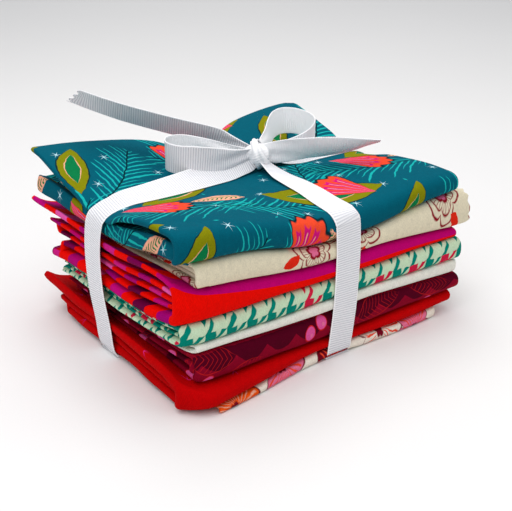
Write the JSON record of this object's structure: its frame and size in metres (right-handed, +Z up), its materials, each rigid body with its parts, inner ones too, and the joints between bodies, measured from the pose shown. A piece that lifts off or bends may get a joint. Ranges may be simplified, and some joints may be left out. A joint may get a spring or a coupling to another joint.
{
  "type": "fabric bundle tied with ribbon",
  "caption": "Stack of loosely folded printed cottons in teal, cream, pink, mint and red, cross-tied with white grosgrain ribbon and a bow on top.",
  "frame": {"origin": "centre of the base of the bundle's box, on the surface it rests on", "axes": "+X along the long front folds, towards the right; -Y out of the front, where the folds show; +Z up through the bow"},
  "size_m": [0.192, 0.1608, 0.1264],
  "materials": {
    "floral_cotton": "matte",
    "red_cotton": "matte",
    "burgundy_cotton": "matte",
    "white_cotton": "matte",
    "mint_cotton": "matte",
    "striped_cotton": "matte",
    "cream_cotton": "matte",
    "teal_cotton": "matte",
    "grosgrain": "satin"
  },
  "bodies": {
    "root": {"cloth_floral": "floral_cotton", "cloth_red": "red_cotton", "cloth_burgundy": "burgundy_cotton", "cloth_white": "white_cotton", "cloth_mint": "mint_cotton", "cloth_stripe": "striped_cotton", "cloth_cream": "cream_cotton", "cloth_teal": "teal_cotton", "ribbon_cross": "grosgrain", "ribbon_long": "grosgrain", "ribbon_knot": "grosgrain", "ribbon_loop_left": "grosgrain", "ribbon_loop_right": "grosgrain", "ribbon_tail_left": "grosgrain", "ribbon_tail_right": "grosgrain"}
  },
  "joints": []
}
